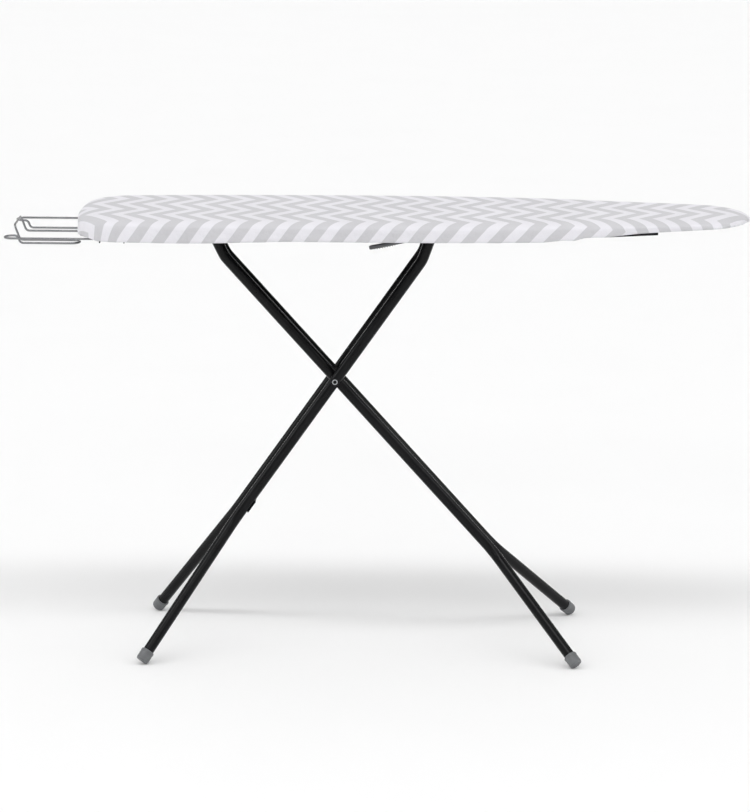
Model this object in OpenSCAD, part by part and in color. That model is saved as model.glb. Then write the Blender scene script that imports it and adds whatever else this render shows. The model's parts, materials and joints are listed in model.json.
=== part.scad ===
// Folding ironing board: padded steel-mesh top, two crossed tube legs, wire iron rest.
// Millimetres. +X points to the nose of the board, +Z up. The origin is on the floor,
// under the middle of the whole length (iron rest included).

/* [Board] */
// Length of the board from heel to nose
board_l = 1220; // [1100:10:1300]
// Widest width of the board
board_w = 335; // [320:5:360]
// Height of the top surface above the floor
top_h = 816; // [812:1:822]
// Radius of the nose
nose_r = 105; // [90:5:120]
// Radius of the two heel corners
corner_r = 85; // [60:5:100]
// Radius of the shallow curve across the heel
heel_r = 600; // [400:50:900]
// Radius of the long curves behind the widest point
flank_r = 7000; // [5000:500:9000]
// Distance of the widest point from the heel
widest_from_heel = 561; // [500:10:620]
// Height of the skirt round the edge of the cover
skirt_h = 34; // [30:1:38]
// Thickness of the pad
pad_t = 6; // [4:1:8]

/* [Legs] */
// Outside diameter of the leg tubes
tube_d = 20; // [18:1:22]
// Wall of the leg tubes
tube_wall = 1.2; // [0.8:0.1:2]
// Distance of the crossing from the heel, along the board
cross_from_heel = 469; // [440:1:500]
// Height of the crossing above the floor
cross_h = 503.5; // [495:0.5:515]
// Lean of the outer pair from upright
outer_lean = 35; // [33:0.5:37]
// Lean of the inner pair from upright
inner_lean = 42; // [40:0.5:44]
// Spacing of the outer pair of tubes
outer_gap = 89; // [88:1:94]
// Spacing of the inner pair of tubes
inner_gap = 40; // [36:1:40]
// Spacing of the feet across the board
foot_spread = 365; // [320:5:400]

/* [Iron rest] */
// Diameter of the wire
wire_d = 4; // [3:0.5:5]
// How far the rest reaches past the heel
rest_reach = 128; // [110:2:140]

/* [Lever] */
// Length of the lever from its shaft to the end of its grip
lever_l = 79; // [70:1:90]
// Slope of the lever's grip at rest
lever_slope = 11.5; // [10:0.5:13]

/* [Hidden] */

$fn = 48;

// Plan of the board. The whole length, iron rest included, is centred on X = 0.
heel_x = -(board_l + rest_reach) / 2 + rest_reach;
nose_x = heel_x + board_l;
wide_x = heel_x + widest_from_heel;
half_w = board_w / 2;
nose_c = [nose_x - nose_r, 0];
bow_d = nose_c[0] - wide_x;
bow_r = (bow_d * bow_d + half_w * half_w - nose_r * nose_r) / (board_w - 2 * nose_r);
bow_c = [wide_x, half_w - bow_r];
flank_c = [wide_x, half_w - flank_r];
heel_c = [heel_x + heel_r, 0];
corner_c = circle_meet(heel_c, heel_r - corner_r, flank_c, flank_r - corner_r);

// Levels, from the top surface down
cover_t = 1;
mesh_t = 1;
member_t = 3;
pad_top = top_h - cover_t;
mesh_top = pad_top - pad_t;
member_top = mesh_top - mesh_t;
rail_top = member_top - member_t;
skirt_z = top_h - skirt_h;
hem_w = 14;

// The skirt is shallower round the nose: it rises steeply, then gently up to the tip
rise_x = [nose_x - 384, nose_x - 274, nose_x + 1];
rise_z = [0, 12, 19];

// Rim frame and rails
rim_t = 1.5;
rim_inset = 2;
rim_flange = 10;
rim_z = skirt_z + 2;
rail_t = 1.2;
rail_in_y = 60;
rail_out_y = 78;
rail_z = skirt_z - 2;
rail_x0 = heel_x + 170;
rail_x1 = nose_x - 168;
rail_slant_x = nose_x - 262;  // from here to the nose end, the lower edge rises
rail_rise = 5;

// Legs. Each pair lies in a leaning plane through the crossing.
tube_r = tube_d / 2;
bend_r = 80;
cross = [heel_x + cross_from_heel, 0, cross_h];
pivot_z = top_h - 24;
inner_knee = 303;
inner_top_lean = 26;
outer_knee = 276;
outer_top_lean = 19.5;
inner_splay_from_foot = 229;
outer_splay_from_foot = 284;
top_past_pivot = 5;
inner_down = [sin(inner_lean), 0, -cos(inner_lean)];
outer_down = [-sin(outer_lean), 0, -cos(outer_lean)];
inner_knee_p = cross - inner_down * inner_knee;
outer_knee_p = cross - outer_down * outer_knee;
inner_top_dir = [-sin(inner_top_lean), 0, cos(inner_top_lean)];
outer_top_dir = [sin(outer_top_lean), 0, cos(outer_top_lean)];
fixed_pivot = inner_knee_p + inner_top_dir * (pivot_z - inner_knee_p[2]) / inner_top_dir[2];
slide_pivot = outer_knee_p + outer_top_dir * (pivot_z - outer_knee_p[2]) / outer_top_dir[2];

// Foot caps
cap_r = 12;
cap_l = 22;
cap_end = 4;
cap_edge = 1.5;
inner_end_z = end_height(inner_lean, inner_splay_from_foot, inner_gap);
outer_end_z = end_height(outer_lean, outer_splay_from_foot, outer_gap);
inner_path = leg_path(inner_down, inner_gap, inner_end_z, inner_splay_from_foot,
                      inner_knee_p, fixed_pivot, inner_top_dir);
outer_path = leg_path(outer_down, outer_gap, outer_end_z, outer_splay_from_foot,
                      outer_knee_p, slide_pivot, outer_top_dir);

// Pins, rods and their holes
axle_r = 4;
run_gap = 0.05;
slider_r = 4;
shoe_r = 7;
shoe_l = 15;
bracket_t = 2.5;
bracket_w = 30;
bracket_in_y = inner_gap / 2 + tube_r + 1.5;
bracket_foot = 16;
axle_half = bracket_in_y + bracket_t + 6;
pin_r = 4;
pin_half = outer_gap / 2 + tube_r + 1;
head_r = 8;
washer_gap = 0.15;

// Iron rest, half of its wire from the guided end to the middle of the heel stop
guide_x0 = heel_x + 46;
guide_l = 46;
wire_r = wire_d / 2;
rest_out_x = heel_x - rest_reach + wire_r;
rest_z = top_h - 41;
skid_z = rest_z - 13.5;
stop_z = rest_z + 13.5;
rod_y = 111;
skid_out_y = 81;
skid_in_y = 48;
rest_inner_x = guide_x0 + guide_l + 8;
rest_half = [
    [rest_inner_x, -rod_y - 12, rest_z], [rest_inner_x, -rod_y, rest_z],
    [rest_out_x, -rod_y, rest_z], [rest_out_x, -skid_out_y, rest_z],
    [rest_out_x + 21, -skid_out_y, rest_z], [rest_out_x + 26, -skid_out_y, skid_z],
    [heel_x + 6, -skid_out_y, skid_z], [heel_x + 6, -skid_in_y, skid_z],
    [rest_out_x + 22, -skid_in_y, skid_z], [rest_out_x + 12, -skid_in_y, stop_z],
    [rest_out_x + 12, 0, stop_z]
];
rest_radii = [0, 6, 14, 14, 8, 8, 15, 15, 8, 8, 0];
guide_t = 2;
guide_w = 16;

// Lever and catch
shaft_r = 3;
shaft_c = [slide_pivot[0] - 40, 0, skirt_z + 7];
shaft_y0 = -150;
shaft_y1 = 84;
hook_y = 55.6;
hook_t = 2.4;
arm_y = -148;
arm_t = 3;
grip_w = 12;
grip_t = 7;
grip_l = 56;

// ---- functions ----

function unit(v) = v / norm(v);

// The meeting point, on the +Y side, of two circles given by centre and radius
function circle_meet(a, ra, b, rb) =
    let (d = norm(b - a),
         along = (ra * ra - rb * rb + d * d) / (2 * d),
         high = sqrt(ra * ra - along * along),
         u = (b - a) / d)
    a + u * along + (u[0] > 0 ? [-u[1], u[0]] : [u[1], -u[0]]) * high;

function bearing(a, b) = atan2(b[1] - a[1], b[0] - a[0]);

function arc(c, r, a0, a1, n) = [for (i = [0 : n]) c + r * [cos(a0 + (a1 - a0) * i / n), sin(a0 + (a1 - a0) * i / n)]];

// The +Y half of the board's outline, from nose to heel, moved inwards by inset
function half_outline(inset) = concat(
    arc(nose_c, nose_r - inset, 0, bearing(bow_c, nose_c), 12),
    arc(bow_c, bow_r - inset, bearing(bow_c, nose_c) + 1, 90, 12),
    arc(flank_c, flank_r - inset, 91, bearing(flank_c, corner_c), 5),
    arc(corner_c, corner_r - inset, bearing(flank_c, corner_c) + 4, bearing(heel_c, corner_c), 9),
    arc(heel_c, heel_r - inset, bearing(heel_c, corner_c) + 1, 180, 4));

function outline(inset) =
    let (h = half_outline(inset), n = len(h))
    concat(h, [for (i = [n - 2 : -1 : 1]) [h[i][0], -h[i][1]]]);

// Half width of the board at x, between the heel and the start of the nose, just inside the
// chords of its outline
chord_gap = 0.3;
function arc_height(c, r, x) = c[1] + sqrt(r * r - pow(x - c[0], 2)) - chord_gap;
function half_at(x, inset) = x > wide_x ? arc_height(bow_c, bow_r - inset, x)
    : x > corner_c[0] ? arc_height(flank_c, flank_r - inset, x)
    : arc_height(corner_c, corner_r - inset, x);

// Height of the middle of a foot's end face, so that its lowest edge is on the floor
function end_height(lean, splay, gap) =
    let (side = (foot_spread - gap) / 2,
         down = cos(lean) * splay / norm([splay, side]),
         flat = sqrt(1 - down * down))
    max(cap_r * flat - cap_edge * down, (cap_r - cap_edge) * flat);

// Centreline of a near-side leg tube: foot, splay, knee and top
function leg_path(down, gap, end_z, splay, knee, pivot, top_dir) =
    let (reach = (cross_h - end_z) / -down[2],
         foot = cross + down * reach + [0, -foot_spread / 2, 0],
         bend = cross + down * (reach - splay) + [0, -gap / 2, 0],
         side = [0, -gap / 2, 0])
    [foot, bend, knee + side, pivot + top_dir * top_past_pivot + side];

// ---- shapes that repeat ----

// Places children with their own X, Y and Z along the given directions
module placed(at, x, y, z) {
    multmatrix([[x[0], y[0], z[0], at[0]], [x[1], y[1], z[1], at[1]], [x[2], y[2], z[2], at[2]], [0, 0, 0, 1]])
        children();
}

module rod_between(a, b, r) {
    z = unit(b - a);
    x = unit(cross_product(abs(z[1]) < 0.9 ? [0, 1, 0] : [1, 0, 0], z));
    placed(a, x, cross_product(z, x), z) cylinder(r = r, h = norm(b - a));
}

function cross_product(a, b) = [a[1] * b[2] - a[2] * b[1], a[2] * b[0] - a[0] * b[2], a[0] * b[1] - a[1] * b[0]];

function turn(p, i) = acos(max(-1, min(1, unit(p[i] - p[i - 1]) * unit(p[i + 1] - p[i]))));
function setback(p, radii, i) = (i == 0 || i == len(p) - 1) ? 0 : radii[i] * tan(turn(p, i) / 2);

// A round bar along straight runs joined by circular bends. A bend is a hair thicker than
// the runs, whose ends reach a little way into it, so that the union has clean edges.
bend_step = 0.05;
bend_lap = 0.2;
module bent_bar(p, radii, r) {
    n = len(p);
    for (i = [0 : n - 2]) {
        d = unit(p[i + 1] - p[i]);
        back = i == 0 ? 0 : setback(p, radii, i) - bend_lap;
        front = i == n - 2 ? 0 : setback(p, radii, i + 1) - bend_lap;
        rod_between(p[i] + d * back, p[i + 1] - d * front, r);
    }
    for (i = [1 : n - 2]) {
        d0 = unit(p[i] - p[i - 1]);
        d1 = unit(p[i + 1] - p[i]);
        start = p[i] - d0 * setback(p, radii, i);
        middle = p[i] + unit(d1 - d0) * radii[i] / cos(turn(p, i) / 2);
        x = unit(start - middle);
        placed(middle, x, d0, cross_product(x, d0))
            rotate_extrude(angle = turn(p, i)) translate([radii[i], 0]) circle(r = r + bend_step);
    }
}

// A bar across the board, along Y
module across(x, z, r, y0, y1) {
    translate([x, y0, z]) rotate([-90, 0, 0]) cylinder(r = r, h = y1 - y0);
}

// Children on the near side (side = 1) or mirrored to the far side (side = -1)
module on_side(side) {
    if (side > 0) children();
    else mirror([0, 1, 0]) children();
}

module board_slab(inset, z0, z1) {
    translate([0, 0, z0]) linear_extrude(z1 - z0) polygon(outline(inset));
}

// All that lies below the edge of the skirt round the nose, lifted by up
module below_nose_edge(up) {
    rotate([90, 0, 0]) linear_extrude(board_w + 2, center = true)
        polygon([[rise_x[0], skirt_z + rise_z[0] + up], [rise_x[1], skirt_z + rise_z[1] + up],
                 [rise_x[2], skirt_z + rise_z[2] + up], [rise_x[2], skirt_z - 2], [rise_x[0], skirt_z - 2]]);
}

module black() { color([0.03, 0.03, 0.035]) children(); }
module bright() { color([0.8, 0.8, 0.82]) children(); }

// ---- board ----

module cover() {
    color([0.86, 0.85, 0.89]) difference() {
        board_slab(0, skirt_z, top_h);
        board_slab(cover_t, skirt_z + cover_t, pad_top);
        board_slab(hem_w, skirt_z - 1, skirt_z + cover_t + 1);
        below_nose_edge(0);
    }
}

module pad() {
    color([0.93, 0.93, 0.9]) board_slab(cover_t, mesh_top, pad_top);
}

mesh_pitch = 44;
mesh_hole_r = 17;
module mesh_panel() {
    black() difference() {
        board_slab(rim_inset, member_top, mesh_top);
        for (i = [0 : 25], j = [-3 : 3]) {
            x = heel_x + 60 + i * mesh_pitch;
            y = (j + (i % 2) / 2) * mesh_pitch * 0.95;
            if (abs(y) < half_at(x, 34) && x < nose_c[0] + 20)
                translate([x, y, member_top - 1]) cylinder(r = mesh_hole_r, h = mesh_t + 2, $fn = 6);
        }
    }
}

module rim_frame() {
    black() difference() {
        board_slab(rim_inset, rim_z, member_top);
        board_slab(rim_inset + rim_t, rim_z + rim_t, member_top + 1);
        board_slab(rim_inset + rim_t + rim_flange, rim_z - 1, rim_z + rim_t + 1);
        below_nose_edge(rim_z - skirt_z);
    }
}

module rail() {
    black() difference() {
        translate([rail_x0, -rail_out_y, rail_z])
            cube([rail_x1 - rail_x0, rail_out_y - rail_in_y, rail_top - rail_z]);
        translate([rail_x0 - 1, -rail_out_y + rail_t, rail_z + rail_t])
            cube([rail_x1 - rail_x0 + 2, rail_out_y, rail_top - rail_z - 2 * rail_t]);
        across(shaft_c[0], shaft_c[2], shaft_r + run_gap, -rail_out_y - 1, -rail_out_y + rail_t + 1);
        rotate([90, 0, 0]) linear_extrude(2 * (rail_out_y + 1), center = true)
            polygon([[rail_slant_x, rail_z], [rail_x1 + 1, rail_z + rail_rise], [rail_x1 + 1, rail_z - 1], [rail_slant_x, rail_z - 1]]);
    }
}
module rail_near() { on_side(1) rail(); }
module rail_far() { on_side(-1) rail(); }

member_w = 30;
module cross_member(x) {
    reach = min(half_at(x - member_w / 2, rim_inset + rim_t), half_at(x + member_w / 2, rim_inset + rim_t));
    black() translate([x - member_w / 2, -reach, rail_top]) cube([member_w, 2 * reach, member_t]);
}
module cross_member_heel() { cross_member(guide_x0 + guide_l / 2); }
module cross_member_pivot() { cross_member(fixed_pivot[0]); }
module cross_member_middle() { cross_member(heel_x + 546); }
module cross_member_nose() { cross_member(rail_x1 - 34); }

// An angle bracket under the pivot cross member, with a round-ended ear for the axle
module pivot_bracket() {
    ear_low = pivot_z - 9;
    black() difference() {
        union() {
            translate([fixed_pivot[0] - bracket_w / 2, -bracket_in_y - bracket_t, ear_low])
                cube([bracket_w, bracket_t, rail_top - ear_low]);
            translate([fixed_pivot[0] - bracket_w / 2, -bracket_in_y - bracket_foot, rail_top - bracket_t])
                cube([bracket_w, bracket_foot, bracket_t]);
        }
        across(fixed_pivot[0], pivot_z, axle_r, -bracket_in_y - bracket_t - 1, -bracket_in_y + 1);
    }
}
module pivot_bracket_near() { on_side(1) pivot_bracket(); }
module pivot_bracket_far() { on_side(-1) pivot_bracket(); }

module pivot_axle() {
    bright() across(fixed_pivot[0], pivot_z, axle_r, -axle_half, axle_half);
}

// A domed push-on nut, open towards +Z, on a shaft of radius r
module push_nut(r) {
    rotate_extrude() polygon([[0, 3.4], [r * 0.7, 3.2], [r + 0.8, 2.2], [r + 1.3, 1], [r + 3, 0.9], [r + 3, 0],
                              [r, 0], [r, 1.8], [0, 1.8]]);
}
module axle_push_nuts() {
    for (side = [1, -1])
        bright() on_side(side) translate([fixed_pivot[0], -axle_half + 1.8, pivot_z]) rotate([90, 0, 0]) push_nut(axle_r);
}

// A saddle with two drilled tabs, under the heel cross member, in which a rod of the rest slides
module rest_guide() {
    low = rest_z - 6;
    black() difference() {
        union() {
            translate([guide_x0, -rod_y - guide_w / 2, rail_top - guide_t]) cube([guide_l, guide_w, guide_t]);
            for (x = [guide_x0, guide_x0 + guide_l - guide_t])
                translate([x, -rod_y - guide_w / 2, low]) cube([guide_t, guide_w, rail_top - low]);
        }
        translate([guide_x0 - 1, -rod_y, rest_z]) rotate([0, 90, 0]) cylinder(r = wire_r + 0.1, h = guide_l + 2);
    }
}
module rest_guide_near() { on_side(1) rest_guide(); }
module rest_guide_far() { on_side(-1) rest_guide(); }

// Rivets through guides and heel cross member
module guide_rivets() {
    for (side = [1, -1])
        bright() on_side(side) translate([guide_x0 + guide_l / 2, -rod_y, rail_top - guide_t])
            rotate([180, 0, 0]) rotate_extrude() polygon([[0, 0], [4, 0], [3.4, 1.2], [2, 1.9], [0, 2.1]]);
}

// ---- legs ----

leg_radii = [0, bend_r, bend_r, 0];

module leg_tube(path, pivot, pivot_hole_r) {
    beyond = 2;
    last = len(path) - 1;
    bore_path = [path[0] + unit(path[0] - path[1]) * beyond, path[1], path[2],
                 path[last] + unit(path[last] - path[last - 1]) * beyond];
    black() difference() {
        bent_bar(tube_ends(path), leg_radii, tube_r);
        bent_bar(bore_path, leg_radii, tube_r - tube_wall);
        across(pivot[0], pivot[2], pivot_hole_r, -200, 0);
        across(cross[0], cross[2], pin_r + run_gap, -200, 0);
    }
}
// The tube stops inside its foot cap
function tube_ends(path) = [path[0] - unit(path[0] - path[1]) * cap_end, path[1], path[2], path[3]];

module inner_tube_near() { on_side(1) leg_tube(inner_path, fixed_pivot, axle_r + run_gap); }
module inner_tube_far() { on_side(-1) leg_tube(inner_path, fixed_pivot, axle_r + run_gap); }
module outer_tube_near() { on_side(1) leg_tube(outer_path, slide_pivot, slider_r); }
module outer_tube_far() { on_side(-1) leg_tube(outer_path, slide_pivot, slider_r); }

// A sleeve with a closed, bevelled end that covers the end of a tube
module foot_cap(path) {
    z = unit(path[1] - path[0]);
    x = unit(cross_product([0, 1, 0], z));
    color([0.36, 0.37, 0.38]) placed(path[0], x, cross_product(z, x), z) rotate_extrude()
        polygon([[0, 0], [cap_r - cap_edge, 0], [cap_r, cap_edge], [cap_r, cap_l - 1], [cap_r - 0.8, cap_l],
                 [tube_r, cap_l], [tube_r, cap_end], [0, cap_end]]);
}
module inner_foot_cap_near() { on_side(1) foot_cap(inner_path); }
module inner_foot_cap_far() { on_side(-1) foot_cap(inner_path); }
module outer_foot_cap_near() { on_side(1) foot_cap(outer_path); }
module outer_foot_cap_far() { on_side(-1) foot_cap(outer_path); }

// A plug with a thin rim that closes the top of a tube, past the pivot hole
plug_rim = 0.8;
module top_plug(path) {
    z = unit(path[3] - path[2]);
    x = unit(cross_product([0, 1, 0], z));
    color([0.1, 0.1, 0.11]) placed(path[3], x, cross_product(z, x), z)
        cylinder(r = tube_r - 0.4, h = plug_rim);
}
module inner_top_plugs() { for (side = [1, -1]) on_side(side) top_plug(inner_path); }
module outer_top_plugs() { for (side = [1, -1]) on_side(side) top_plug(outer_path); }

// A plate welded between the inner tubes, just above their splay
plate_l = 60;
plate_t = 2;
module inner_spreader_plate() {
    at = inner_path[1] - inner_down * (plate_l + 22);
    black() placed([at[0], 0, at[2]], inner_down, [0, 1, 0], cross_product(inner_down, [0, 1, 0]))
        translate([0, -inner_gap / 2 + tube_r, -plate_t / 2]) cube([plate_l, inner_gap - tube_d, plate_t]);
}

// A strip welded under the outer tubes where they start to splay, clear of the inner pair
strip_w = 24;
strip_t = 2.5;
module outer_cross_strip() {
    at = outer_path[1] - outer_down * (strip_w + 26);
    black() placed([at[0], 0, at[2]], outer_down, [0, 1, 0], cross_product(outer_down, [0, 1, 0]))
        translate([0, -outer_gap / 2 - 4, tube_r]) cube([strip_w, outer_gap + 8, strip_t]);
}

module ring(at_y, thick, r_out, r_in) {
    translate([cross[0], at_y, cross[2]]) rotate([-90, 0, 0]) difference() {
        cylinder(r = r_out, h = thick);
        translate([0, 0, -1]) cylinder(r = r_in, h = thick + 2);
    }
}

module inner_pivot_spacer() {
    length = inner_gap - tube_d;
    bright() ring(-length / 2, length, 7, pin_r + run_gap);
}

module centre_pivot_pin() {
    bright() across(cross[0], cross[2], pin_r, -pin_half, pin_half);
}

// Rolled rivet heads on the ends of the centre pin, hollow in the middle
module pivot_rivet_heads() {
    for (side = [1, -1])
        bright() on_side(side) translate([cross[0], -pin_half + 0.6, cross[2]]) rotate([90, 0, 0]) rotate_extrude()
            polygon([[pin_r, -0.4], [head_r, -0.4], [head_r, 0.2], [6.6, 1.6], [5.4, 2.2], [3.6, 2], [2.6, 1.2],
                     [2.4, 0.6], [pin_r, 0.6]]);
}

// Washers between the inner and the outer tubes
module pivot_washers() {
    inner_face = inner_gap / 2 + tube_r;
    outer_face = outer_gap / 2 - tube_r;
    for (side = [1, -1])
        color([0.2, 0.2, 0.21]) on_side(side)
            ring(-outer_face + washer_gap, outer_face - inner_face - 2 * washer_gap, 9, pin_r + run_gap);
}

// ---- sliding top of the outer legs ----

rod_half = rail_out_y - rail_t - 0.6;
module slider_rod() {
    bright() across(slide_pivot[0], pivot_z, slider_r, -rod_half, rod_half);
}
module slider_shoe() {
    color([0.15, 0.15, 0.16]) difference() {
        across(slide_pivot[0], pivot_z, shoe_r, -rod_half, -rod_half + shoe_l);
        across(slide_pivot[0], pivot_z, slider_r, -rod_half - 1, -rod_half + shoe_l + 1);
    }
}
module slider_shoe_near() { on_side(1) slider_shoe(); }
module slider_shoe_far() { on_side(-1) slider_shoe(); }

// ---- lever and catch ----

module lever_shaft() {
    bright() across(shaft_c[0], shaft_c[2], shaft_r, shaft_y0, shaft_y1);
}

// Frame of the lever: X towards the end of the grip, Z up
module on_lever() {
    translate([shaft_c[0], 0, shaft_c[2]]) rotate([0, -lever_slope, 0]) mirror([1, 0, 0]) children();
}

module lever_arm() {
    drop = 4;
    black() on_lever() difference() {
        union() {
            translate([0, arm_y, 0]) rotate([-90, 0, 0]) cylinder(r = 7, h = arm_t);
            translate([0, arm_y, -drop - 3]) cube([lever_l - 20, arm_t, 7]);
        }
        translate([0, arm_y - 1, 0]) rotate([-90, 0, 0]) cylinder(r = shaft_r, h = arm_t + 2);
    }
}

// Moulded grip with round ends, ribs under it and a hole near its end
rib_count = 9;
module lever_grip() {
    drop = 3.5;
    x0 = lever_l - grip_l;
    slot = 0.02;
    color([0.2, 0.2, 0.21]) on_lever() translate([0, arm_y + arm_t / 2, -drop]) difference() {
        union() {
            translate([x0, -grip_w / 2, -grip_t / 2]) cube([grip_l - grip_w / 2, grip_w, grip_t]);
            translate([lever_l - grip_w / 2, 0, -grip_t / 2]) cylinder(r = grip_w / 2, h = grip_t);
            for (i = [0 : rib_count - 1])
                translate([x0 + 5 + i * 4.6, 0, -grip_t / 2]) rotate([90, 0, 0])
                    cylinder(r = 1, h = grip_w - 1, center = true);
        }
        translate([-1, -arm_t / 2 - slot, -3.5]) cube([lever_l - 19 + slot, arm_t + 2 * slot, 7 + 2 * slot]);
        translate([lever_l - grip_w / 2, 0, -grip_t]) cylinder(r = 2, h = 2 * grip_t);
    }
}

// A plate on the shaft whose nose stands up behind the slider rod
module catch_hook() {
    nose_x0 = slide_pivot[0] + slider_r + 0.6;
    black() difference() {
        union() {
            across(shaft_c[0], shaft_c[2], 6, -hook_y - hook_t, -hook_y);
            translate([shaft_c[0], -hook_y - hook_t, skirt_z - 3])
                cube([nose_x0 + 6 - shaft_c[0], hook_t, 7.4]);
            translate([nose_x0, -hook_y - hook_t, skirt_z - 3]) cube([6, hook_t, 12.5]);
        }
        across(shaft_c[0], shaft_c[2], shaft_r, -hook_y - hook_t - 1, -hook_y + 1);
    }
}
module catch_hook_near() { on_side(1) catch_hook(); }
module catch_hook_far() { on_side(-1) catch_hook(); }

module shaft_push_nuts() {
    bright() translate([shaft_c[0], shaft_y0 + 1.8, shaft_c[2]]) rotate([90, 0, 0]) push_nut(shaft_r);
    bright() translate([shaft_c[0], shaft_y1 - 1.8, shaft_c[2]]) rotate([-90, 0, 0]) push_nut(shaft_r);
}

// Torsion spring round the shaft, next to the near rail
coil_count = 7;
module lever_spring() {
    wire = 0.7;
    coil_r = 5.2;
    pitch = 1.45;
    y0 = -rail_out_y - 3;
    bright() union() {
        for (i = [0 : coil_count - 1])
            translate([shaft_c[0], y0 - i * pitch, shaft_c[2]]) rotate([90, 0, 0])
                rotate_extrude() translate([coil_r, 0]) circle(r = wire + 0.05, $fn = 16);
        rod_between([shaft_c[0], y0, shaft_c[2] + coil_r], [shaft_c[0] + 14, y0, shaft_c[2] + coil_r], wire);
        rod_between([shaft_c[0], y0 - (coil_count - 1) * pitch, shaft_c[2] - coil_r],
                    [shaft_c[0] - 14, y0 - (coil_count - 1) * pitch, shaft_c[2] - coil_r], wire);
    }
}

// ---- iron rest ----

function far_half(p) = [for (i = [len(p) - 2 : -1 : 0]) [p[i][0], -p[i][1], p[i][2]]];
function back_half(v) = [for (i = [len(v) - 2 : -1 : 0]) v[i]];

module iron_rest_wire() {
    near = [for (i = [0 : len(rest_half) - 2]) rest_half[i]];
    radii = [for (i = [0 : len(rest_radii) - 2]) rest_radii[i]];
    bright() bent_bar(concat(near, far_half(rest_half)), concat(radii, back_half(rest_radii)), wire_r);
}

cover();
pad();
mesh_panel();
rim_frame();
rail_near();
rail_far();
cross_member_heel();
cross_member_pivot();
cross_member_middle();
cross_member_nose();
pivot_bracket_near();
pivot_bracket_far();
pivot_axle();
axle_push_nuts();
rest_guide_near();
rest_guide_far();
guide_rivets();
inner_tube_near();
inner_tube_far();
inner_spreader_plate();
inner_pivot_spacer();
inner_foot_cap_near();
inner_foot_cap_far();
inner_top_plugs();
outer_tube_near();
outer_tube_far();
outer_cross_strip();
outer_foot_cap_near();
outer_foot_cap_far();
outer_top_plugs();
slider_rod();
slider_shoe_near();
slider_shoe_far();
centre_pivot_pin();
pivot_rivet_heads();
pivot_washers();
lever_shaft();
lever_arm();
lever_grip();
catch_hook_near();
catch_hook_far();
shaft_push_nuts();
lever_spring();
iron_rest_wire();
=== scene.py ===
import json
import math

import bmesh
import bpy
import numpy as np
from mathutils import Matrix, Vector, noise


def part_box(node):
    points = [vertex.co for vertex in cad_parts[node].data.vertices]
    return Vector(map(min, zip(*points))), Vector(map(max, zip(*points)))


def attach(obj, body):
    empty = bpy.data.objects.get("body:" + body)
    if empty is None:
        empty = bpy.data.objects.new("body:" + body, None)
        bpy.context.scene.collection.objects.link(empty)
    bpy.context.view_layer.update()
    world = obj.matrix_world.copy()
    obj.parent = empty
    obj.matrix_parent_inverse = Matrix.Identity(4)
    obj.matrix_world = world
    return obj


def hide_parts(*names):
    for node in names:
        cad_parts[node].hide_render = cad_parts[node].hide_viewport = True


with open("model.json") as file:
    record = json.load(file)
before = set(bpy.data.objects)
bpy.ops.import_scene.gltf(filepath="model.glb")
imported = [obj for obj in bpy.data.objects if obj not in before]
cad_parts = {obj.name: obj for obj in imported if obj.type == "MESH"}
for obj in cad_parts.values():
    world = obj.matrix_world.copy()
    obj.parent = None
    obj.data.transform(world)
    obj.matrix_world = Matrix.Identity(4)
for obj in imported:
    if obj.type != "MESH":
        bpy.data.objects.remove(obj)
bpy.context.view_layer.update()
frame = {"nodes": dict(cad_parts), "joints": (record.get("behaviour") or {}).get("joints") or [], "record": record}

# ---------------------------------------------------------------- camera
# The camera looks slightly down and a little to the left along +Y.
camera_data = bpy.data.cameras.new("camera")
camera_data.sensor_width = 36
camera_data.lens = 160.1
camera_data.clip_end = 50
camera = bpy.data.objects.new("camera", camera_data)
camera.matrix_world = (
    Matrix.Translation((0.139, -6.503, 1.9156))
    @ Matrix.Rotation(math.radians(1.265), 4, "Z")
    @ Matrix.Rotation(math.radians(90 - 12.723), 4, "X")
    @ Matrix.Rotation(math.radians(0.274), 4, "Z")
)
bpy.context.scene.collection.objects.link(camera)
bpy.context.scene.camera = camera

# ---------------------------------------------------------------- sizes, in metres
low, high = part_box("cover")
HEEL_X, NOSE_X, TOP_Z, SKIRT_Z = low.x, high.x, high.z, low.z
HALF_W = high.y
PAD_T = 0.006
TUBE_R = 0.010
WIRE_R = 0.002
CROSS = Vector([j["pos_m"] for j in frame["joints"] if j["name"] == "leg_cross_pivot"][0])
SHAFT = Vector([j["pos_m"] for j in frame["joints"] if j["name"] == "catch_lever"][0])


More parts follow.
